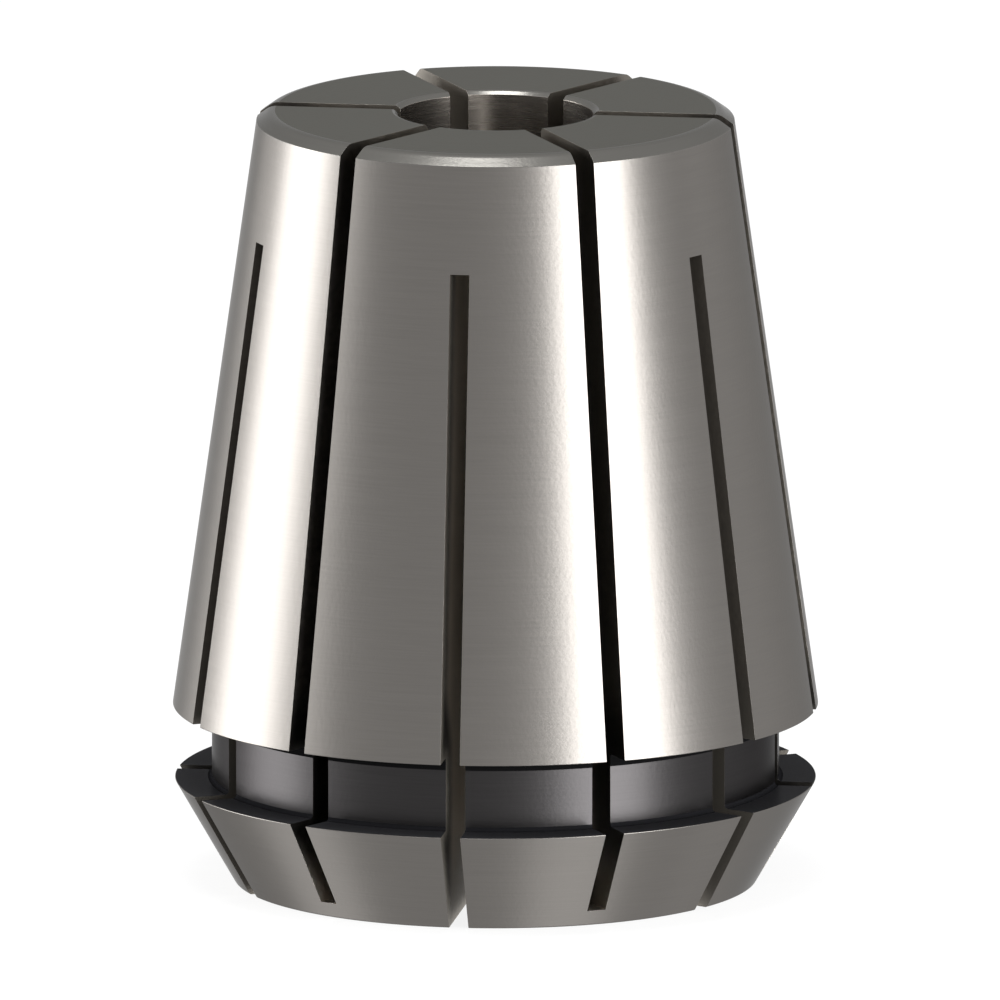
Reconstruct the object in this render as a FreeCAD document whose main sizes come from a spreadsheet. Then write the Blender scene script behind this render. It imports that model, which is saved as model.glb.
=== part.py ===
"""Spring collet of the ER form, 33 mm across and 40 mm long, for a 10 mm shank.

One piece of spring steel. It is turned with a long 8 degree cone for the holder, a steep 30 degree
cone for the clamping nut and a groove between them for the nut's snap ring. Then it is sawn from
both ends in turn, so that the twelve segments close on the shank together.

The origin is the middle of the front face, the wide end that looks out through the nut. +Z runs
up the axis to the narrow rear end, so the collet stands on its front face. The X axis runs midway
between two slots. All lengths are millimetres.
"""
import FreeCAD, Part
import math
import os

import Sketcher

# Driving dimensions: alias, value, what it measures
SIZES = [
    ("overall_length", "40", "front face to rear face"),
    ("largest_diameter", "33", "wide end of the holder cone"),
    ("holder_half_angle", "8", "holder cone, degrees from the axis"),
    ("nut_half_angle", "30", "nut cone, degrees from the axis"),
    ("nut_cone_length", "5.3", "front face to the top of the flange"),
    ("flange_inset", "0.1", "flange rim below the largest diameter, on the radius"),
    ("groove_width", "3.8", "top of the flange to the holder cone"),
    ("groove_depth", "1.9", "groove floor below the flange rim"),
    ("groove_fillet", "0.2", "radius in both corners of the groove"),
    ("rear_chamfer_width", "0.7", "chamfer of the rear face, across the face"),
    ("rear_chamfer_height", "0.5", "chamfer of the rear face, along the axis"),
    ("edge_break", "0.1", "small chamfer on the three sharp outer edges"),
    ("bore_diameter", "10", "through bore that grips the shank"),
    ("bore_chamfer", "0.2", "chamfer at both mouths of the bore"),
    ("slots_per_set", "6", "slots sawn from each end"),
    ("slot_width", "1", "saw cut"),
    ("front_web", "0.85", "metal that the rear slots leave at the front face"),
    ("rear_web", "6", "metal that the front slots leave at the rear face"),
]

# An edge is taken for a ring when its radius and height match to this many millimetres
RING_TOLERANCE = 0.001

doc = FreeCAD.newDocument("Collet")


def make_sheet():
    """The spreadsheet of driving dimensions, one row for each."""
    sheet = doc.addObject("Spreadsheet::Sheet", "Sizes")
    for row, (alias, value, meaning) in enumerate(SIZES, start=1):
        sheet.set(f"A{row}", alias)
        sheet.set(f"B{row}", value)
        sheet.set(f"C{row}", meaning)
        sheet.setAlias(f"B{row}", alias)
    doc.recompute()
    return sheet


def origin_feature(body, role):
    """The body's own origin plane or axis of that role."""
    return next(item for item in body.Origin.OriginFeatures if item.Role == role)


def add_sketch(body, name, plane_role):
    """An empty sketch on one of the body's origin planes."""
    sketch = body.newObject("Sketcher::SketchObject", name)
    sketch.AttachmentSupport = [(origin_feature(body, plane_role), "")]
    sketch.MapMode = "FlatFace"
    return sketch


def add_outline(sketch, corners):
    """Draw a closed outline of straight lines through the corners and join their ends."""
    points = [FreeCAD.Vector(x, y, 0) for x, y in corners]
    ends = points[1:] + points[:1]
    lines = [sketch.addGeometry(Part.LineSegment(a, b), False) for a, b in zip(points, ends)]
    for line, following in zip(lines, lines[1:] + lines[:1]):
        sketch.addConstraint(Sketcher.Constraint("Coincident", line, 2, following, 1))
    return lines


def drive(sketch, name, constraint, formula):
    """Add a named dimension to the sketch and bind it to the spreadsheet."""
    index = sketch.addConstraint(constraint)
    sketch.renameConstraint(index, name)
    sketch.setExpression(f"Constraints.{name}", formula)


def slope(half_angle):
    """How much a cone's radius changes for each millimetre along the axis."""
    return math.tan(math.radians(half_angle))


def ring_radii(sheet):
    """Radii of the bore, the front face, the flange rim, the groove floor and the widest ring."""
    largest = sheet.largest_diameter / 2
    rim = largest - sheet.flange_inset
    front = rim - sheet.nut_cone_length * slope(sheet.nut_half_angle)
    return sheet.bore_diameter / 2, front, rim, rim - sheet.groove_depth, largest


def draw_profile(body, sheet):
    """Half section of the turned blank, in the XZ plane: x is the radius, y the height."""
    sketch = add_sketch(body, "Profile", "XZ_Plane")

    # A first drawing, which the dimensions below then hold
    bore, front, rim, groove, largest = ring_radii(sheet)
    flange_top = sheet.nut_cone_length
    shoulder = flange_top + sheet.groove_width
    top = sheet.overall_length
    chamfer_foot = top - sheet.rear_chamfer_height
    chamfer_rim = largest - (chamfer_foot - shoulder) * slope(sheet.holder_half_angle)
    (front_face, nut_cone, flange, groove_floor, cone_shoulder,
     holder_cone, rear_chamfer, rear_face, bore_wall) = add_outline(sketch, [
         (bore, 0), (front, 0), (rim, flange_top), (groove, flange_top), (groove, shoulder),
         (largest, shoulder), (chamfer_rim, chamfer_foot),
         (chamfer_rim - sheet.rear_chamfer_width, top), (bore, top)])

    for line in (front_face, flange, cone_shoulder, rear_face):
        sketch.addConstraint(Sketcher.Constraint("Horizontal", line))
    for line in (groove_floor, bore_wall):
        sketch.addConstraint(Sketcher.Constraint("Vertical", line))
    sketch.addConstraint(Sketcher.Constraint("PointOnObject", front_face, 1, -1))

    def across(start, start_end, finish, finish_end):
        return Sketcher.Constraint("DistanceX", start, start_end, finish, finish_end, 1.0)

    def along(start, start_end, finish, finish_end):
        return Sketcher.Constraint("DistanceY", start, start_end, finish, finish_end, 1.0)

    drive(sketch, "bore_radius", across(-1, 1, front_face, 1), "Sizes.bore_diameter / 2")
    drive(sketch, "rim_radius", across(-1, 1, nut_cone, 2),
          "Sizes.largest_diameter / 2 - Sizes.flange_inset")
    drive(sketch, "groove_depth", across(flange, 2, flange, 1), "Sizes.groove_depth")
    drive(sketch, "largest_radius", across(-1, 1, holder_cone, 1), "Sizes.largest_diameter / 2")
    drive(sketch, "chamfer_width", across(rear_chamfer, 2, rear_chamfer, 1),
          "Sizes.rear_chamfer_width")
    drive(sketch, "chamfer_height", along(rear_chamfer, 1, rear_chamfer, 2),
          "Sizes.rear_chamfer_height")
    drive(sketch, "nut_cone_length", along(nut_cone, 1, nut_cone, 2), "Sizes.nut_cone_length")
    drive(sketch, "groove_width", along(groove_floor, 1, groove_floor, 2), "Sizes.groove_width")
    drive(sketch, "overall_length", along(bore_wall, 2, bore_wall, 1), "Sizes.overall_length")
    drive(sketch, "nut_slope", Sketcher.Constraint("Angle", nut_cone, 1.0),
          "(90 - Sizes.nut_half_angle) * 1 deg")
    drive(sketch, "holder_slope", Sketcher.Constraint("Angle", holder_cone, 1.7),
          "(90 + Sizes.holder_half_angle) * 1 deg")
    doc.recompute()
    return sketch


def turn_blank(body, sheet):
    """The turned blank: the revolved half section with its inner corners and edges finished."""
    blank = body.newObject("PartDesign::Revolution", "Blank")
    blank.Profile = draw_profile(body, sheet)
    blank.ReferenceAxis = (origin_feature(body, "Z_Axis"), [""])
    blank.Angle = 360
    doc.recompute()

    bore, front, rim, groove, largest = ring_radii(sheet)
    flange_top = sheet.nut_cone_length
    shoulder = flange_top + sheet.groove_width
    groove_corners = add_dressing(
        body, blank, "PartDesign::Fillet", "GrooveFillet", "Radius", "Sizes.groove_fillet",
        [(groove, flange_top), (groove, shoulder)])
    bore_mouths = add_dressing(
        body, groove_corners, "PartDesign::Chamfer", "BoreChamfer", "Size", "Sizes.bore_chamfer",
        [(bore, 0), (bore, sheet.overall_length)])
    return add_dressing(
        body, bore_mouths, "PartDesign::Chamfer", "EdgeBreak", "Size", "Sizes.edge_break",
        [(front, 0), (rim, flange_top), (largest, shoulder)])


def ring_edges(shape, rings):
    """Names of the circular edges at the given (radius, height) pairs."""
    names = []
    for radius, height in rings:
        for number, edge in enumerate(shape.Edges, start=1):
            circle = edge.Curve
            if (isinstance(circle, Part.Circle)
                    and abs(circle.Radius - radius) < RING_TOLERANCE
                    and abs(circle.Center.z - height) < RING_TOLERANCE):
                names.append(f"Edge{number}")
    if len(names) != len(rings):
        raise RuntimeError(f"found {len(names)} ring edges, not {len(rings)}")
    return names


def add_dressing(body, base, kind, name, size_property, formula, rings):
    """A fillet or chamfer on rings of the turned blank, its size bound to the spreadsheet."""
    feature = body.newObject(kind, name)
    feature.Base = (base, ring_edges(base.Shape, rings))
    feature.setExpression(size_property, formula)
    doc.recompute()
    return feature


def saw_slots(body, sheet, name, height_formula, turn_formula, upwards):
    """One set of saw cuts: a thin radial pocket from one end, repeated round the axis.

    height_formula gives the height of the slots' flat ends and turn_formula the angle of the first
    slot from +X. Each cut runs from the axis, in the open bore, out past the outside.
    """
    plan = add_sketch(body, f"{name}Plan", "XY_Plane")
    plan.AttachmentOffset = FreeCAD.Placement(
        FreeCAD.Vector(0, 0, 0), FreeCAD.Rotation(FreeCAD.Vector(0, 0, 1), 0))
    plan.setExpression("AttachmentOffset.Base.z", height_formula)
    plan.setExpression("AttachmentOffset.Rotation.Angle", turn_formula)
    reach = sheet.largest_diameter
    side = sheet.slot_width / 2
    lower, outer, upper, inner = add_outline(
        plan, [(0, -side), (reach, -side), (reach, side), (0, side)])
    plan.addConstraint(Sketcher.Constraint("Horizontal", lower))
    plan.addConstraint(Sketcher.Constraint("Horizontal", upper))
    plan.addConstraint(Sketcher.Constraint("Vertical", outer))
    plan.addConstraint(Sketcher.Constraint("Symmetric", inner, 1, inner, 2, -1, 1))
    drive(plan, "slot_width", Sketcher.Constraint("DistanceY", outer, 1, outer, 2, 1.0),
          "Sizes.slot_width")
    drive(plan, "slot_reach", Sketcher.Constraint("DistanceX", lower, 1, lower, 2, 1.0),
          "Sizes.largest_diameter")

    cut = body.newObject("PartDesign::Pocket", f"{name}Cut")
    cut.Profile = plan
    cut.Type = "ThroughAll"
    cut.Reversed = upwards

    slots = body.newObject("PartDesign::PolarPattern", name)
    slots.Originals = [cut]
    slots.Axis = (origin_feature(body, "Z_Axis"), [""])
    slots.Angle = 360
    slots.setExpression("Occurrences", "Sizes.slots_per_set")
    body.Tip = slots
    doc.recompute()
    return slots


def make_collet(sheet):
    """The whole collet: the turned blank, sawn from both ends in turn.

    The two sets together share the circle evenly, and +X is midway between two neighbours.
    """
    body = doc.addObject("PartDesign::Body", "ColletBody")
    body.Label = "collet_body"
    stages = [
        turn_blank(body, sheet),
        saw_slots(body, sheet, "RearSlots", "Sizes.front_web",
                  "270 deg / Sizes.slots_per_set", True),
        saw_slots(body, sheet, "FrontSlots", "Sizes.overall_length - Sizes.rear_web",
                  "90 deg / Sizes.slots_per_set", False),
    ]
    volumes = [stage.Shape.Volume for stage in stages]
    print("volume of the blank and after each set of slots, mm3:",
          ", ".join(f"{volume:.1f}" for volume in volumes))
    if not volumes[0] > volumes[1] > volumes[2]:
        raise RuntimeError("a set of slots cuts nothing")
    return body


def check_document():
    """Stop if any object of the document failed."""
    for item in doc.Objects:
        if "Invalid" in item.State or "Error" in item.State:
            raise RuntimeError(f"{item.Name} failed: {item.State}")


def write_part(body):
    """Check the body's shape and write it under its own name."""
    shape = body.Shape
    if shape.isNull() or not shape.isValid() or len(shape.Solids) != 1:
        raise RuntimeError(f"{body.Label} isn't one valid solid")
    box = shape.optimalBoundingBox()
    print(f"{body.Label}: {shape.Volume:.1f} mm3, {box.XLength:.3f} x {box.YLength:.3f} "
          f"x {box.ZLength:.3f} mm, {len(shape.Faces)} faces")
    os.makedirs("parts", exist_ok=True)
    shape.exportStep(os.path.join("parts", f"{body.Label}.step"))


collet = make_collet(make_sheet())
check_document()
write_part(collet)
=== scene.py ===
"""Looks of the spring collet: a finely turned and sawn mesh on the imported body, with its finishes.

The mesh is worked out in millimetres from the collet's section and its saw cuts, and then scaled to
metres. Angles run anticlockwise from +X, seen from above, and +Z runs up the axis.
"""

import math

import bmesh
import bpy
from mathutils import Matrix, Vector


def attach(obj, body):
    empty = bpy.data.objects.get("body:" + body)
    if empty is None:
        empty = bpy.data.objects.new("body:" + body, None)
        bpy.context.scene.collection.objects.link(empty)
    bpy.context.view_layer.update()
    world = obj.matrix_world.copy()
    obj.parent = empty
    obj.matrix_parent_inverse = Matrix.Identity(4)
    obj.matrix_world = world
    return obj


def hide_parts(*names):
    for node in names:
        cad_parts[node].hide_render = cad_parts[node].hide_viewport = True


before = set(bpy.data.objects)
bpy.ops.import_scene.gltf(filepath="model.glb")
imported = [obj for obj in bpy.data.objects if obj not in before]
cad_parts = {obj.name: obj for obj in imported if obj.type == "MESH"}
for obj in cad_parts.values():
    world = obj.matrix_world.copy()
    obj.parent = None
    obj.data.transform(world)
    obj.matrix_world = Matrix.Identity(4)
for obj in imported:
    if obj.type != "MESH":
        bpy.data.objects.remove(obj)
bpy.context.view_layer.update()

MM = 0.001

# Sizes of the collet, in millimetres and degrees
OVERALL_LENGTH = 40.0
LARGEST_RADIUS = 16.5
HOLDER_HALF_ANGLE = 8.0
NUT_HALF_ANGLE = 30.0
NUT_CONE_LENGTH = 5.3
FLANGE_INSET = 0.1
GROOVE_WIDTH = 3.8
GROOVE_DEPTH = 1.9
GROOVE_FILLET = 0.2
REAR_CHAMFER_WIDTH = 0.7
REAR_CHAMFER_HEIGHT = 0.5
EDGE_BREAK = 0.1
BORE_RADIUS = 5.0
BORE_CHAMFER = 0.2
SLOTS_PER_SET = 6
SLOT_WIDTH = 1.0
FRONT_WEB = 0.85
REAR_WEB = 6.0

# Sizes that follow from those: the height of the shoulder between the groove and the holder cone, the
# radius of the groove's floor, the number of slots, and the angle from one to the next
SHOULDER_HEIGHT = NUT_CONE_LENGTH + GROOVE_WIDTH
GROOVE_RADIUS = LARGEST_RADIUS - FLANGE_INSET - GROOVE_DEPTH
SLOTS = 2 * SLOTS_PER_SET
SLOT_SPACING = math.pi / SLOTS_PER_SET

# Zone numbers of the faces that aren't turned
REAR_SLOT_WALL = -1
FRONT_SLOT_WALL = -2
SLOT_EDGE = -3

# How far the corners are softened, in millimetres
FINE_BREAK = 0.03
BORE_EDGE_BREAK = 0.01
RIM_BREAK = 0.05
CHAMFER_SOFTENING = 0.25
MOUTH_SOFTENING = 0.1
SLOT_EDGE_ROUNDING = 0.006

# How finely the mesh is cut. The columns across a slot are its two sides and its middle.
SLOT_COLUMNS = 3
COLUMNS_BETWEEN_SLOTS = 20
COLUMNS_PER_SLOT = SLOT_COLUMNS + COLUMNS_BETWEEN_SLOTS
ARC_STEPS = 6
SLOT_EDGE_STEPS = 2
SAME_HEIGHT = 1e-6

# Where the finishes change, in millimetres: the band under the shoulder that is painted dark as shade, and
# how far above the shoulder and below the rear face the painted light and shade on the slots' walls change
# in tone
PAINTED_SHADE_BAND = 0.65
GROOVE_LIGHT_REACH = 4.0
REAR_LIGHT_REACH = 8.0

# The satin grain of the steel, in millimetres
GRAIN_SIZE = 0.2
GRAIN_DEPTH = 4e-3
GRAIN_DETAIL = 2

# Tool marks: how many there are in a millimetre across them and along them, and their depth in
# millimetres
TURNING_MARKS = (14, 0.3)
TURNING_MARK_DEPTH = 4e-5
SAW_MARKS = (3, 3)
SAW_MARK_DEPTH = 1e-3
MARK_DETAIL = 3

# The values that a noise seldom leaves
NOISE_LOW = 0.3
NOISE_HIGH = 0.7

# The stage, in metres, degrees and shares of white
FLOOR_HALF_WIDTH = 2.0
FLOOR_COLOUR = (0.9, 0.9, 0.9, 1.0)
FLOOR_WHITE_SHARE = 0.85
PANEL_DISTANCE = 0.35
OVERHEAD_WIDTH = 0.155
LOW_HALF_ANGLE = 12.5
LOW_WIDTH = 2 * PANEL_DISTANCE * math.tan(math.radians(LOW_HALF_ANGLE))

# The upright soft boxes: azimuth from the camera's front, half the width, lowest and highest elevation,
# all in degrees as the collet sees them, and radiance
UPRIGHT_LIGHTS = {
    "box_right": (45.2, 18.0, -30, 28, 11.6),
    "box_left": (-100.5, 15.3, -30, 28, 8.2),
    "glow_left": (-104, 40, -20, 20, 1.6),
    "glow_right": (125, 25, -52, 20, 0.28),
}

# The round soft boxes: azimuth and elevation in degrees, width in metres, and radiance
ROUND_LIGHTS = {
    "box_above": (-34.7, 80.4, OVERHEAD_WIDTH, 10.0),
    "low_right": (53, -67, LOW_WIDTH, 1.35),
    "low_left": (-104, -51, LOW_WIDTH, 1.35),
}

# The photograph's view
CAMERA_AZIMUTH = -6.9
CAMERA_ELEVATION = 11.44
CAMERA_DISTANCE = 0.5
FRAME_PIXELS = 1000
PIXELS_PER_MM = 19.56
MIDDLE_PIXEL = (495.5, 493.5)


def section():
    """Corners of the half section, anticlockwise from the bore's front mouth.

    Each is (radius, height, setback, rounding, line): setback is how far the rounding of the corner
    reaches along its two lines, and rounding and line are the finishes of that rounding and of the
    line to the next corner. A setback of nothing only changes the finish along a straight line.
    """
    rim = LARGEST_RADIUS - FLANGE_INSET
    front = rim - NUT_CONE_LENGTH * math.tan(math.radians(NUT_HALF_ANGLE))
    chamfer_foot = OVERALL_LENGTH - REAR_CHAMFER_HEIGHT
    taper = math.tan(math.radians(HOLDER_HALF_ANGLE))
    chamfer_rim = LARGEST_RADIUS - (chamfer_foot - SHOULDER_HEIGHT) * taper
    mouth = BORE_RADIUS + BORE_CHAMFER
    return [
        (mouth, 0, FINE_BREAK, "ground", "faced"),
        (front, 0, EDGE_BREAK, "ground", "ground"),
        (rim, NUT_CONE_LENGTH, RIM_BREAK, "ground", "flange_top"),
        # The fillet at the flange's foot is painted darker as shade in the groove's corner
        (GROOVE_RADIUS, NUT_CONE_LENGTH, GROOVE_FILLET, "flange_foot_painted_shade", "blackened"),
        # From here up to the shoulder's rim the groove is painted near black, as the shade under the
        # shoulder
        (GROOVE_RADIUS, SHOULDER_HEIGHT - PAINTED_SHADE_BAND, 0, None, "painted_shade_under_shoulder"),
        (GROOVE_RADIUS, SHOULDER_HEIGHT, GROOVE_FILLET, "painted_shade_under_shoulder", "painted_shade_under_shoulder"),
        (LARGEST_RADIUS, SHOULDER_HEIGHT, RIM_BREAK, "ground", "ground"),
        (chamfer_rim, chamfer_foot, FINE_BREAK, "chamfered", "chamfered"),
        (chamfer_rim - REAR_CHAMFER_WIDTH, OVERALL_LENGTH, CHAMFER_SOFTENING, "chamfered", "faced"),
        (mouth, OVERALL_LENGTH, MOUTH_SOFTENING, "chamfered", "chamfered"),
        (BORE_RADIUS, OVERALL_LENGTH - BORE_CHAMFER, BORE_EDGE_BREAK, "honed", "honed"),
        (BORE_RADIUS, BORE_CHAMFER, FINE_BREAK, "ground", "ground"),
    ]


class Zone:
    """One stretch of the section between two rows: part of a line, or one step of a rounding."""

    def __init__(self, finish_name, direction=None, centre=None, hollow=False):
        self.finish_name = finish_name
        self.direction = direction
        self.centre = centre
        self.hollow = hollow

    def normal(self, point):
        """Outward surface normal at a point of the turned surface."""
        radius = math.hypot(point.x, point.y)
        if self.direction:
            across, up = self.direction
        else:
            across, up = radius - self.centre[0], point.z - self.centre[1]
            if self.hollow:
                across, up = -across, -up
        return Vector((across * point.x / radius, across * point.y / radius, up)).normalized()


def rounding(before, corner, after, setback):
    """Points of the arc that rounds a corner, its centre, and whether the corner is hollow."""
    back = (Vector(before) - Vector(corner)).normalized()
    on = (Vector(after) - Vector(corner)).normalized()
    start, end = Vector(corner) + back * setback, Vector(corner) + on * setback
    half = back.angle(on) / 2
    centre = Vector(corner) + (back + on).normalized() * (setback / math.cos(half))
    hollow = back.x * on.y - back.y * on.x > 0
    first = math.atan2(start.y - centre.y, start.x - centre.x)
    turn = math.atan2(end.y - centre.y, end.x - centre.x) - first
    turn = (turn + math.pi) % (2 * math.pi) - math.pi
    radius = (start - centre).length
    angles = [first + turn * step / ARC_STEPS for step in range(ARC_STEPS + 1)]
    points = [(centre.x + radius * math.cos(angle), centre.y + radius * math.sin(angle))
              for angle in angles]
    return points, tuple(centre), hollow


def section_rows():
    """Rows of the turned surface as (radius, height), and the zone that follows each of them."""
    corners = section()
    rows, zones = [], []
    for index, (radius, height, setback, rounding_finish, line_finish) in enumerate(corners):
        before, after = corners[index - 1], corners[(index + 1) % len(corners)]
        if setback:
            points, centre, hollow = rounding(before[:2], (radius, height), after[:2], setback)
            rows += points
            zones += [Zone(rounding_finish, centre=centre, hollow=hollow)] * ARC_STEPS
        else:
            rows.append((radius, height))
        line = Vector(after[:2]) - Vector((radius, height))
        zones.append(Zone(line_finish, direction=(line.normalized().y, -line.normalized().x)))
    return add_slot_rows(rows, zones)


def add_slot_rows(rows, zones):
    """Add a row wherever the section crosses the height of a slot's flat end."""
    new_rows, new_zones = [], []
    for index, (row, zone) in enumerate(zip(rows, zones)):
        following = rows[(index + 1) % len(rows)]
        new_rows.append(row)
        new_zones.append(zone)
        crossed = [height for height in (FRONT_WEB, OVERALL_LENGTH - REAR_WEB)
                   if min(row[1], following[1]) < height < max(row[1], following[1])]
        for height in sorted(crossed, reverse=following[1] < row[1]):
            share = (height - row[1]) / (following[1] - row[1])
            new_rows.append((row[0] + share * (following[0] - row[0]), height))
            new_zones.append(zone)
    return new_rows, new_zones


def is_rear_slot(slot):
    """Whether the numbered slot starts at the rear face. Front and rear slots alternate."""
    return slot % 2 == 1


def slot_end(slot):
    """Height of the numbered slot's flat end."""
    return FRONT_WEB if is_rear_slot(slot) else OVERALL_LENGTH - REAR_WEB


def slot_reaches(slot, low, high):
    """Whether the numbered slot cuts the heights from low to high."""
    middle = (low + high) / 2
    return middle > slot_end(slot) if is_rear_slot(slot) else middle < slot_end(slot)


def slot_angle(slot):
    """Angle of the numbered slot's middle: the first is a front slot, half a spacing from +X."""
    return (slot + 0.5) * SLOT_SPACING


class SawnBlank:
    """The turned and sawn blank as a mesh in millimetres, whose faces know their zone."""

    def __init__(self):
        self.rows, self.zones = section_rows()
        self.mesh = bmesh.new()
        self.mesh.faces.layers.int.new("zone")
        self.vertices = {}
        self.sawn_edges = []
        self.add_turned_faces()
        for slot in range(SLOTS):
            self.add_slot(slot)
        self.round_sawn_edges()
        self.mesh.normal_update()

    def zone_layer(self):
        """The zone numbers of the faces, looked up anew because changes to the mesh can move them."""
        return self.mesh.faces.layers.int["zone"]

    def vertex(self, row, slot, place):
        """The vertex of a row at a slot's column. The first places cross the slot, the rest follow it."""
        key = (row, slot % SLOTS, place)
        if key not in self.vertices:
            radius, height = self.rows[row]
            side = math.asin(SLOT_WIDTH / 2 / radius)
            if place < SLOT_COLUMNS:
                angle = slot_angle(slot) + (place - 1) * side
            else:
                share = (place - SLOT_COLUMNS + 1) / (COLUMNS_BETWEEN_SLOTS + 1)
                angle = slot_angle(slot) + side + share * (SLOT_SPACING - 2 * side)
            place_in_mm = (radius * math.cos(angle), radius * math.sin(angle), height)
            self.vertices[key] = self.mesh.verts.new(place_in_mm)
        return self.vertices[key]

    def add_face(self, vertices, zone):
        """A smooth face between vertices, marked with its zone."""
        face = self.mesh.faces.new(vertices)
        face.smooth = True
        face[self.zone_layer()] = zone
        return face

    def add_turned_faces(self):
        """The turned surface, left open where a slot cuts it. Its zones have their rows' numbers."""
        for row, (radius, height) in enumerate(self.rows):
            after = (row + 1) % len(self.rows)
            for slot in range(SLOTS):
                cut = slot_reaches(slot, height, self.rows[after][1])
                for place in range(SLOT_COLUMNS - 1 if cut else 0, COLUMNS_PER_SLOT):
                    here = (slot, place)
                    beside = (slot, place + 1) if place < COLUMNS_PER_SLOT - 1 else (slot + 1, 0)
                    self.add_face([self.vertex(row, *here), self.vertex(row, *beside),
                                   self.vertex(after, *beside), self.vertex(after, *here)], row)

    def cut_rows(self, slot):
        """The rows that a slot cuts, from the outer edge of its flat end round to the inner edge."""
        ends = [row for row, (radius, height) in enumerate(self.rows)
                if abs(height - slot_end(slot)) < SAME_HEIGHT]
        outer, inner = sorted(ends, key=lambda row: self.rows[row][0], reverse=True)
        height_after = self.rows[(outer + 1) % len(self.rows)][1]
        step = 1 if slot_reaches(slot, slot_end(slot), height_after) else -1
        cut = [outer]
        while cut[-1] != inner:
            cut.append((cut[-1] + step) % len(self.rows))
        return cut

    def add_sawn_face(self, vertices, zone, facing):
        """A face of a slot, turned to the side that it faces."""
        face = self.add_face(vertices, zone)
        face.normal_update()
        if face.normal.dot(facing) < 0:
            face.normal_flip()

    def add_slot(self, slot):
        """The two walls of a slot and the two halves of its flat end."""
        cut = self.cut_rows(slot)
        zone = REAR_SLOT_WALL if is_rear_slot(slot) else FRONT_SLOT_WALL
        onwards = Vector((-math.sin(slot_angle(slot)), math.cos(slot_angle(slot)), 0))
        for place, facing in ((0, onwards), (SLOT_COLUMNS - 1, -onwards)):
            wall = [self.vertex(row, slot, place) for row in cut]
            self.add_sawn_face(wall, zone, facing)
            self.sawn_edges += [self.mesh.edges.get(pair) for pair in zip(wall, wall[1:])]
        out_of_the_end = Vector((0, 0, 1 if is_rear_slot(slot) else -1))
        for place in range(SLOT_COLUMNS - 1):
            end = [self.vertex(cut[0], slot, place), self.vertex(cut[0], slot, place + 1),
                   self.vertex(cut[-1], slot, place + 1), self.vertex(cut[-1], slot, place)]
            self.add_sawn_face(end, zone, out_of_the_end)
            self.sawn_edges += [self.mesh.edges.get(end[:2]), self.mesh.edges.get(end[2:])]

    def round_sawn_edges(self):
        """Round the edges that the saw leaves, and mark the new faces. A profile of 0.5 is round."""
        made = bmesh.ops.bevel(self.mesh, geom=self.sawn_edges, offset=SLOT_EDGE_ROUNDING,
                               offset_type="OFFSET", segments=SLOT_EDGE_STEPS, profile=0.5,
                               affect="EDGES", clamp_overlap=True)
        for face in made["faces"]:
            face[self.zone_layer()] = SLOT_EDGE
            face.smooth = True

    def surface_normal(self, face, vertex):
        """Normal of a turned or sawn face at one of its vertices."""
        zone = face[self.zone_layer()]
        return face.normal.copy() if zone < 0 else self.zones[zone].normal(vertex.co)

    def corner_normals(self):
        """A normal for every corner of every face: exact on turned surfaces, flat on sawn ones."""
        zone_layer = self.zone_layer()
        normals = []
        for face in self.mesh.faces:
            for vertex in face.verts:
                if face[zone_layer] != SLOT_EDGE:
                    normals.append(self.surface_normal(face, vertex))
                    continue
                around = [other for other in vertex.link_faces if other[zone_layer] != SLOT_EDGE]
                around = around or list(vertex.link_faces)
                total = sum((self.surface_normal(other, vertex) for other in around), Vector())
                normals.append(total.normalized())
        return normals

    def finish_of(self, face):
        """Name of a face's finish. Half of each rounded slot edge goes with either of its sides."""
        zone_layer = self.zone_layer()
        zone = face[zone_layer]
        if zone == SLOT_EDGE:
            beside = {other[zone_layer] for edge in face.edges for other in edge.link_faces}
            zone = max(beside - {SLOT_EDGE}, default=REAR_SLOT_WALL)
        walls = {REAR_SLOT_WALL: "sawn_rear", FRONT_SLOT_WALL: "sawn_front"}
        return walls.get(zone) or self.zones[zone].finish_name


def make_collet(finishes):
    """The collet's body as one object, each face with the material of its finish."""
    blank = SawnBlank()
    names = list(finishes)
    for face in blank.mesh.faces:
        face.material_index = names.index(blank.finish_of(face))
    normals = blank.corner_normals()
    bmesh.ops.scale(blank.mesh, vec=(MM, MM, MM), verts=blank.mesh.verts)

    mesh = bpy.data.meshes.new("collet")
    blank.mesh.to_mesh(mesh)
    blank.mesh.free()
    for name in names:
        mesh.materials.append(finishes[name])
    mesh.normals_split_custom_set(normals)
    collet = bpy.data.objects.new("collet", mesh)
    bpy.context.scene.collection.objects.link(collet)
    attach(collet, "root")
    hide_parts("collet_body")
    return collet


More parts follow.
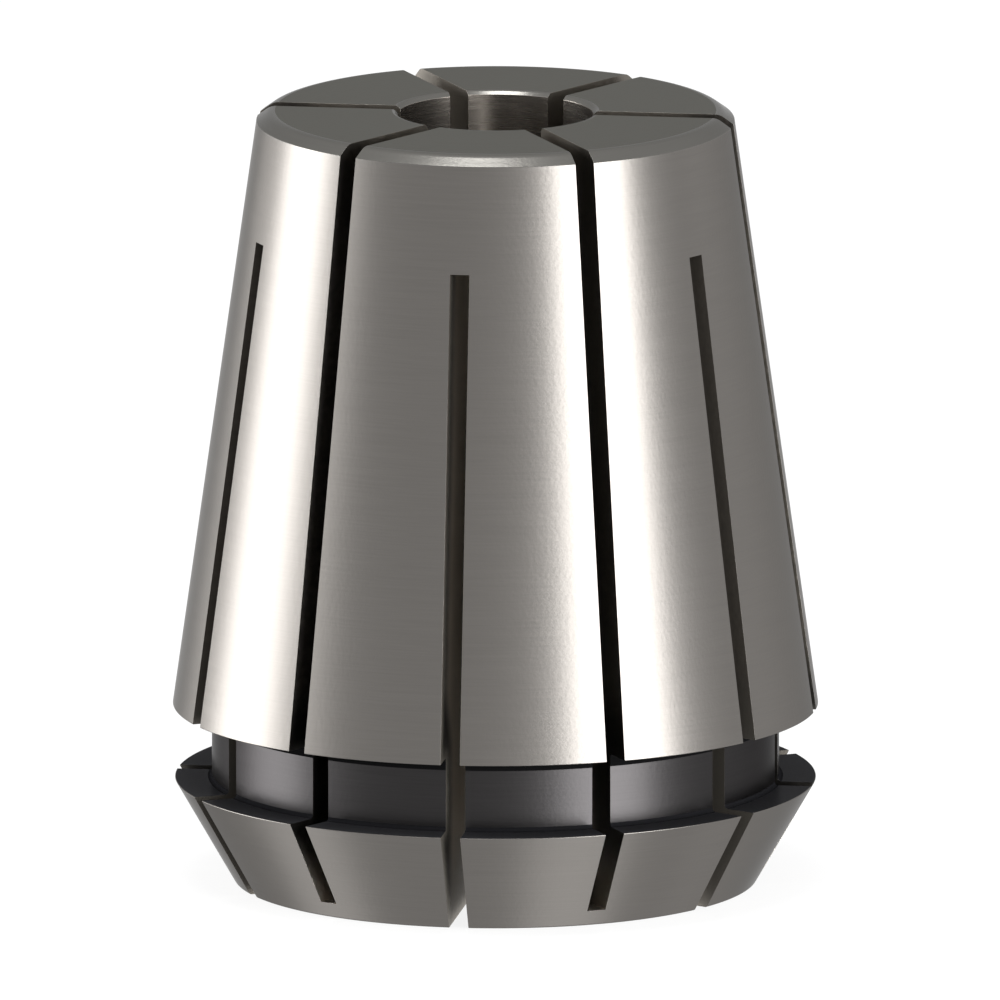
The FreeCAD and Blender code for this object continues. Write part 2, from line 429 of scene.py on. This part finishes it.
class Nodes:
    """A material's node tree, with short calls to add nodes and link them."""

    def __init__(self, material):
        material.use_nodes = True
        self.tree = material.node_tree
        self.shader = self.tree.nodes["Principled BSDF"]

    def add(self, kind, **settings):
        node = self.tree.nodes.new(kind)
        for name, value in settings.items():
            setattr(node, name, value)
        return node

    def link(self, source, target):
        self.tree.links.new(source, target)

    def place(self):
        """The place on the collet, in metres from its origin."""
        return self.add("ShaderNodeTexCoord").outputs["Object"]

    def scaled(self, vector, factors):
        """A vector times three factors."""
        node = self.add("ShaderNodeVectorMath", operation="MULTIPLY")
        self.link(vector, node.inputs[0])
        node.inputs[1].default_value = factors
        return node.outputs["Vector"]

    def radius(self, place, factor):
        """Distance from the axis, times a factor."""
        length = self.add("ShaderNodeVectorMath", operation="LENGTH")
        self.link(self.scaled(place, (factor, factor, 0)), length.inputs[0])
        return length.outputs["Value"]

    def turned_place(self, across, around):
        """Coordinates that change fast over the radius and the height, and slowly round the axis.

        across and around are how many changes there are in a millimetre.
        """
        across, around = across / MM, around / MM
        place = self.place()
        outwards = self.add("ShaderNodeCombineXYZ")
        self.link(self.radius(place, across), outwards.inputs["X"])
        total = self.add("ShaderNodeVectorMath", operation="ADD")
        self.link(self.scaled(place, (around, around, across)), total.inputs[0])
        self.link(outwards.outputs["Vector"], total.inputs[1])
        return total.outputs["Vector"]

    def calculate(self, operation, first, *others):
        """The result of one sum. others are numbers or values."""
        node = self.add("ShaderNodeMath", operation=operation)
        self.link(first, node.inputs[0])
        for socket, other in zip(list(node.inputs)[1:], others):
            if isinstance(other, float):
                socket.default_value = other
            else:
                self.link(other, socket)
        return node.outputs["Value"]

    def blend(self, factor, first, second):
        """A colour between two, by a factor. Each is a colour's three parts, or the output of a node."""
        mix = self.add("ShaderNodeMix", data_type="RGBA")
        self.link(factor, mix.inputs["Factor"])
        for name, colour in (("A", first), ("B", second)):
            if isinstance(colour, bpy.types.NodeSocket):
                self.link(colour, mix.inputs[name])
            else:
                mix.inputs[name].default_value = (*colour, 1.0)
        return mix.outputs["Result"]

    def noise(self, place, detail):
        """Noise with one change for each step of one in its coordinates."""
        noise = self.add("ShaderNodeTexNoise")
        noise.inputs["Scale"].default_value = 1.0
        noise.inputs["Detail"].default_value = detail
        self.link(place, noise.inputs["Vector"])
        return noise.outputs["Fac"]

    def smooth_step(self, value, low, high):
        """A factor that rises smoothly from 0 to 1 while the value rises from low to high millimetres."""
        step = self.add("ShaderNodeMapRange", interpolation_type="SMOOTHSTEP")
        step.inputs["From Min"].default_value = low * MM
        step.inputs["From Max"].default_value = high * MM
        self.link(value, step.inputs["Value"])
        return step.outputs["Result"]

    def spread(self, value, low, high):
        """Map the usual range of a noise to the range from low to high."""
        spread = self.add("ShaderNodeMapRange")
        spread.inputs["From Min"].default_value = NOISE_LOW
        spread.inputs["From Max"].default_value = NOISE_HIGH
        spread.inputs["To Min"].default_value = low
        spread.inputs["To Max"].default_value = high
        self.link(value, spread.inputs["Value"])
        return spread.outputs["Result"]


def finish(name, colour, variation, roughness, edge_tint, metallic=1.0, specular=0.5,
           marks=TURNING_MARKS, mark_depth=TURNING_MARK_DEPTH, grain_depth=GRAIN_DEPTH):
    """A finish of the steel.

    colour is linear, variation the share by which it changes along the tool marks, roughness the ends
    of the gloss, edge_tint how much light the metal keeps near grazing, and specular the gloss of what
    isn't metallic. marks, mark_depth and grain_depth are as in the values named above.
    """
    material = bpy.data.materials.new(name)
    nodes = Nodes(material)
    shader = nodes.shader
    shader.inputs["Metallic"].default_value = metallic
    shader.inputs["Specular IOR Level"].default_value = specular
    shader.inputs["Specular Tint"].default_value = (edge_tint, edge_tint, edge_tint, 1.0)

    lines = nodes.noise(nodes.turned_place(*marks), MARK_DETAIL)
    shade = nodes.blend(nodes.spread(lines, 0.0, 1.0), [part * (1 - variation) for part in colour],
                        [part * (1 + variation) for part in colour])
    nodes.link(shade, shader.inputs["Base Color"])
    nodes.link(nodes.spread(lines, *roughness), shader.inputs["Roughness"])

    grain = nodes.noise(nodes.scaled(nodes.place(), [1 / (GRAIN_SIZE * MM)] * 3), GRAIN_DETAIL)
    marked = nodes.calculate("MULTIPLY", lines, mark_depth * MM)
    height = nodes.calculate("MULTIPLY_ADD", grain, grain_depth * MM, marked)
    bump = nodes.add("ShaderNodeBump")
    bump.inputs["Strength"].default_value = 1.0
    bump.inputs["Distance"].default_value = 1.0
    nodes.link(height, bump.inputs["Height"])
    nodes.link(bump.outputs["Normal"], shader.inputs["Normal"])
    return material


def depth_in_slot(nodes, place, height, above_the_shoulder):
    """How far a place on a slot's wall lies below the outside at its height.

    The outside is the groove's floor up to the shoulder, and then changes to the holder cone.
    """
    taper = math.tan(math.radians(HOLDER_HALF_ANGLE))
    cone = nodes.calculate("MULTIPLY_ADD", height, -taper, (LARGEST_RADIUS + SHOULDER_HEIGHT * taper) * MM)
    outside = nodes.add("ShaderNodeMix", data_type="FLOAT")
    nodes.link(above_the_shoulder, outside.inputs["Factor"])
    outside.inputs["A"].default_value = GROOVE_RADIUS * MM
    nodes.link(cone, outside.inputs["B"])
    return nodes.calculate("SUBTRACT", outside.outputs["Result"], nodes.radius(place, 1))


def saw_finish_with_painted_light(name, mouth, deep, mouth_depth, roughness, edge_tint, metallic):
    """The finish of a slot's walls, with light and shade painted into its colour, which change with the
    height and from the mouth to deeper in.

    mouth holds the painted colours at the mouth by the front face, in the groove, on the cone and by the
    rear face, and deep holds those deeper in, by the front face and above the nut cone. mouth_depth is
    where the change from mouth to deep starts and ends, in millimetres below the outside.
    """
    material = finish(name, colour=mouth["cone"], variation=0.1, roughness=roughness, edge_tint=edge_tint,
                      metallic=metallic, specular=0.2, marks=SAW_MARKS, mark_depth=SAW_MARK_DEPTH)
    nodes = Nodes(material)
    cone_shade = nodes.shader.inputs["Base Color"].links[0].from_socket

    place = nodes.place()
    split = nodes.add("ShaderNodeSeparateXYZ")
    nodes.link(place, split.inputs["Vector"])
    height = split.outputs["Z"]
    # Masks for the painted light and shade on the wall: up the nut cone, above the shoulder, near the rear
    # face, and inwards from the mouth
    up_the_nut_cone = nodes.smooth_step(height, 0.0, NUT_CONE_LENGTH)
    above_the_shoulder = nodes.smooth_step(height, SHOULDER_HEIGHT, SHOULDER_HEIGHT + GROOVE_LIGHT_REACH)
    near_the_rear = nodes.smooth_step(height, OVERALL_LENGTH - REAR_LIGHT_REACH, OVERALL_LENGTH)
    inwards = nodes.smooth_step(depth_in_slot(nodes, place, height, above_the_shoulder), *mouth_depth)

    low_mouth = nodes.blend(up_the_nut_cone, mouth["front"], mouth["groove"])
    long_mouth = nodes.blend(above_the_shoulder, low_mouth, cone_shade)
    whole_mouth = nodes.blend(near_the_rear, long_mouth, mouth["rear"])
    whole_deep = nodes.blend(up_the_nut_cone, deep["front"], deep["cone"])
    nodes.link(nodes.blend(inwards, whole_mouth, whole_deep), nodes.shader.inputs["Base Color"])
    return material


def make_bright_finishes():
    """The finishes of the bare turned, ground and honed surfaces, by name. The honed bore is painted
    lighter than the other steel, as light in the bore.
    """
    return {
        "ground": finish("ground_steel", colour=(0.141, 0.133, 0.1245), variation=0.03,
                         roughness=(0.29, 0.31), edge_tint=0.50),
        "faced": finish("faced_steel", colour=(0.162, 0.158, 0.139), variation=0.03,
                        roughness=(0.28, 0.31), edge_tint=0.38),
        "chamfered": finish("chamfered_steel", colour=(0.148, 0.1435, 0.1335), variation=0.03,
                            roughness=(0.24, 0.26), edge_tint=0.54),
        # The honed bore, painted lighter than the outer steel as light inside it
        "honed": finish("honed_steel_painted_light", colour=(0.30, 0.275, 0.247), variation=0.05,
                        roughness=(0.24, 0.29), edge_tint=0.5, grain_depth=GRAIN_DEPTH / 2),
    }


def make_black_finishes():
    """The finishes of the blackened surfaces in the groove, by name. The fillet at the flange's foot is
    blackened steel painted darker, as shade in the corner, and the band under the shoulder is painted
    shade.
    """
    return {
        "blackened": finish("blackened_steel", colour=(0.032, 0.0305, 0.031), variation=0.05,
                            roughness=(0.32, 0.34), edge_tint=0.45),
        "flange_top": finish("blackened_flange", colour=(0.0335, 0.0335, 0.0365), variation=0.05,
                             roughness=(0.29, 0.31), edge_tint=0.29, metallic=0.5, specular=0),
        # Blackened fillet, painted darker and without gloss as shade in the groove's bottom corner
        "flange_foot_painted_shade": finish("blackened_fillet_painted_shade", colour=(0.008, 0.008, 0.009), variation=0.05,
                              roughness=(0.45, 0.55), edge_tint=0.5, metallic=0, specular=0),
        # Near-black band without gloss under the shoulder: painted shade
        "painted_shade_under_shoulder": finish("black_steel_painted_shade", colour=(0.004, 0.004, 0.0042), variation=0.05,
                       roughness=(0.45, 0.55), edge_tint=0.5, metallic=0, specular=0),
    }


def make_sawn_finishes():
    """The finishes of the slots' walls, by name, with painted light and shade in their colours. The rear
    slots' walls are glossier.
    """
    return {
        "sawn_front": saw_finish_with_painted_light(
            "sawn_steel_front_painted_light",
            mouth={"front": (0.06, 0.0545, 0.047), "groove": (0.05, 0.0455, 0.039),
                   "cone": (0.045, 0.040, 0.034), "rear": (0.045, 0.040, 0.034)},
            deep={"front": (0.18, 0.165, 0.144), "cone": (0.60, 0.55, 0.48)},
            mouth_depth=(0.6, 3.0), roughness=(0.5, 0.6), edge_tint=0.5, metallic=0.3),
        "sawn_rear": saw_finish_with_painted_light(
            "sawn_steel_rear_painted_light",
            mouth={"front": (0.75, 0.69, 0.61), "groove": (0.06, 0.0565, 0.0515),
                   "cone": (0.25, 0.231, 0.203), "rear": (0.15, 0.138, 0.122)},
            deep={"front": (0.40, 0.367, 0.322), "cone": (0.31, 0.285, 0.25)},
            mouth_depth=(1.4, 3.2), roughness=(0.28, 0.34), edge_tint=0.5, metallic=1.0),
    }


def floor_material():
    """Pale floor that the camera sees as mostly white, with part of its shadow left."""
    material = bpy.data.materials.new("floor")
    nodes = Nodes(material)
    nodes.shader.inputs["Base Color"].default_value = FLOOR_COLOUR
    nodes.shader.inputs["Roughness"].default_value = 1.0
    nodes.shader.inputs["Specular IOR Level"].default_value = 0.0
    white = nodes.add("ShaderNodeEmission")
    path = nodes.add("ShaderNodeLightPath").outputs
    mirrored = nodes.calculate("ADD", path["Is Glossy Ray"], path["Is Transmission Ray"])
    share = nodes.calculate("MULTIPLY_ADD", path["Is Camera Ray"], FLOOR_WHITE_SHARE, mirrored)
    mix = nodes.add("ShaderNodeMixShader")
    nodes.link(share, mix.inputs["Fac"])
    nodes.link(nodes.shader.outputs["BSDF"], mix.inputs[1])
    nodes.link(white.outputs["Emission"], mix.inputs[2])
    nodes.link(mix.outputs["Shader"], nodes.tree.nodes["Material Output"].inputs["Surface"])
    return material


def make_floor():
    """A wide white floor with a faint shadow. The steel mirrors the white beyond it instead."""
    half = FLOOR_HALF_WIDTH
    mesh = bpy.data.meshes.new("floor")
    mesh.from_pydata([(-half, -half, 0), (half, -half, 0), (half, half, 0), (-half, half, 0)],
                     [], [(0, 1, 2, 3)])
    mesh.materials.append(floor_material())
    floor = bpy.data.objects.new("floor", mesh)
    bpy.context.scene.collection.objects.link(floor)
    floor.visible_glossy = False
    floor.visible_diffuse = False
    floor.visible_shadow = False


def direction(azimuth, elevation):
    """Unit vector towards a place that far round from the camera's front and above the horizon."""
    turn = math.radians(CAMERA_AZIMUTH + azimuth - 90)
    rise = math.radians(elevation)
    return Vector((math.cos(turn) * math.cos(rise), math.sin(turn) * math.cos(rise), math.sin(rise)))


def add_light(name, shape, towards, size, radiance):
    """A soft box that faces the collet, unseen by the camera. radiance 1 is as bright as the white."""
    light = bpy.data.lights.new(name, "AREA")
    light.shape = shape
    light.size, light.size_y = size
    area = size[0] * size[1] * (1 if shape == "RECTANGLE" else math.pi / 4)
    light.energy = radiance * math.pi * area
    lamp = bpy.data.objects.new(name, light)
    bpy.context.scene.collection.objects.link(lamp)
    lamp.location = Vector((0, 0, OVERALL_LENGTH / 2 * MM)) + towards * PANEL_DISTANCE
    lamp.rotation_mode = "QUATERNION"
    lamp.rotation_quaternion = towards.to_track_quat("Z", "Y")
    lamp.visible_camera = False
    return lamp


def add_upright_light(name, azimuth, half_width, low, high, radiance):
    """An upright soft box that fills those azimuths and elevations as the collet sees them."""
    bottom, top = (PANEL_DISTANCE * math.tan(math.radians(angle)) for angle in (low, high))
    width = 2 * PANEL_DISTANCE * math.tan(math.radians(half_width))
    lamp = add_light(name, "RECTANGLE", direction(azimuth, 0), (width, top - bottom), radiance)
    lamp.location.z += (bottom + top) / 2


def make_lights():
    """White all round, upright soft boxes on either side, and round ones overhead and low down."""
    world = bpy.data.worlds.new("white")
    world.use_nodes = True
    world.node_tree.nodes["Background"].inputs["Color"].default_value = (1, 1, 1, 1)
    world.node_tree.nodes["Background"].inputs["Strength"].default_value = 1.0
    bpy.context.scene.world = world
    for name, (azimuth, half_width, low, high, radiance) in UPRIGHT_LIGHTS.items():
        add_upright_light(name, azimuth, half_width, low, high, radiance)
    for name, (azimuth, elevation, width, radiance) in ROUND_LIGHTS.items():
        add_light(name, "DISK", direction(azimuth, elevation), (width, width), radiance)


def make_camera():
    """A camera with parallel rays at the photograph's angle, framed as the photograph is."""
    data = bpy.data.cameras.new("camera")
    data.type = "ORTHO"
    data.ortho_scale = FRAME_PIXELS / PIXELS_PER_MM * MM
    camera = bpy.data.objects.new("camera", data)
    bpy.context.scene.collection.objects.link(camera)
    back = direction(0, CAMERA_ELEVATION)
    camera.rotation_mode = "QUATERNION"
    camera.rotation_quaternion = back.to_track_quat("Z", "Y")
    right = camera.rotation_quaternion @ Vector((1, 0, 0))
    up = camera.rotation_quaternion @ Vector((0, 1, 0))
    half = FRAME_PIXELS / 2
    aside = (half - MIDDLE_PIXEL[0]) / PIXELS_PER_MM * MM
    above = (MIDDLE_PIXEL[1] - half) / PIXELS_PER_MM * MM
    middle = Vector((0, 0, OVERALL_LENGTH / 2 * MM))
    camera.location = middle + back * CAMERA_DISTANCE + right * aside + up * above
    bpy.context.scene.camera = camera


make_camera()
make_collet({**make_bright_finishes(), **make_black_finishes(), **make_sawn_finishes()})
make_floor()
make_lights()
bpy.context.scene.view_settings.view_transform = "Standard"
